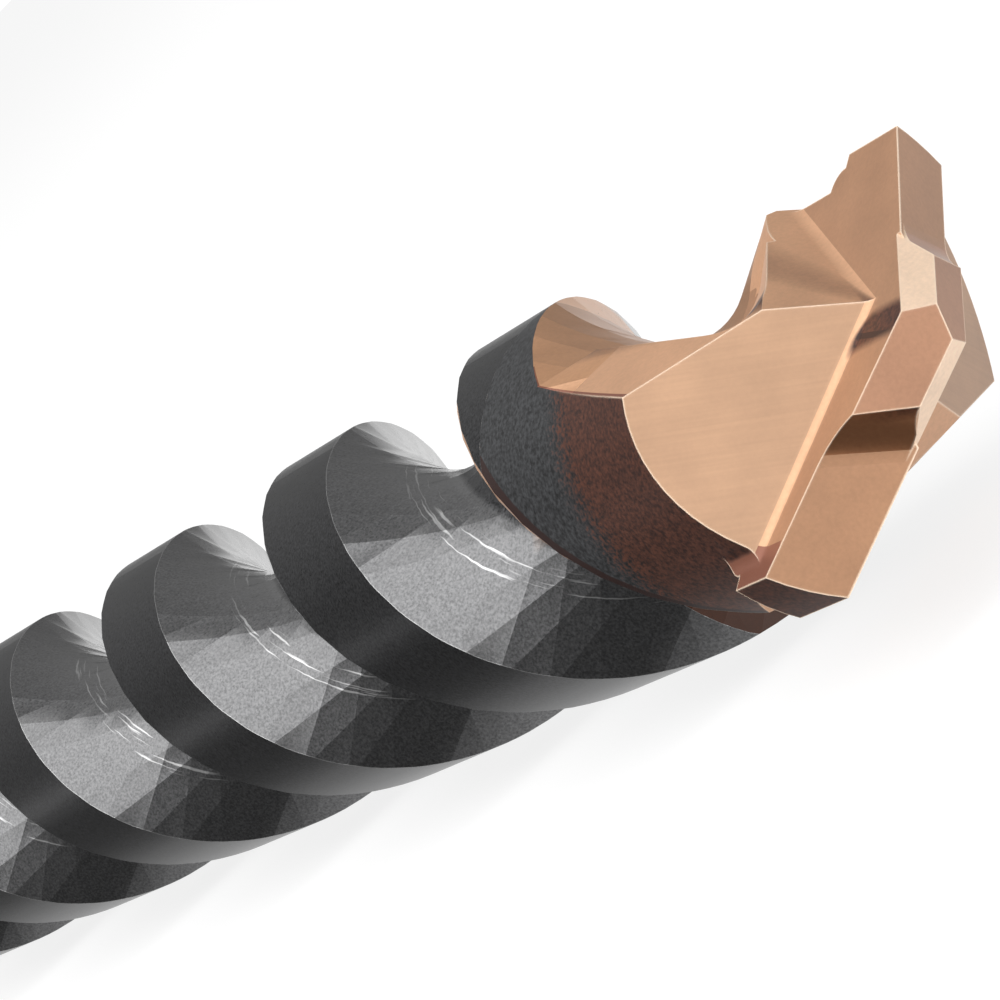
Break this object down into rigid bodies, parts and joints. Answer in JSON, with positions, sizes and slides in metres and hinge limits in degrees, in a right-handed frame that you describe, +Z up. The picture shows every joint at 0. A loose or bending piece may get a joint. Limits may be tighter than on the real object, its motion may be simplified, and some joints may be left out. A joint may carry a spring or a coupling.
{
  "type": "masonry drill bit",
  "caption": "Hammer-drill masonry bit with a full carbide head, a centring tip, a two-groove right-hand helix and a slotted round shank.",
  "frame": {"origin": "on the bit's axis, in the flat end of the shank", "axes": "+X along the axis towards the tip, +Z up with the bit lying on its side"},
  "size_m": [0.16, 0.01, 0.01],
  "materials": {
    "sintered_carbide": "tan, ground",
    "oxidised_steel": "black oxide"
  },
  "bodies": {
    "root": {"carbide_head": "sintered_carbide", "steel_body": "oxidised_steel"}
  },
  "joints": []
}
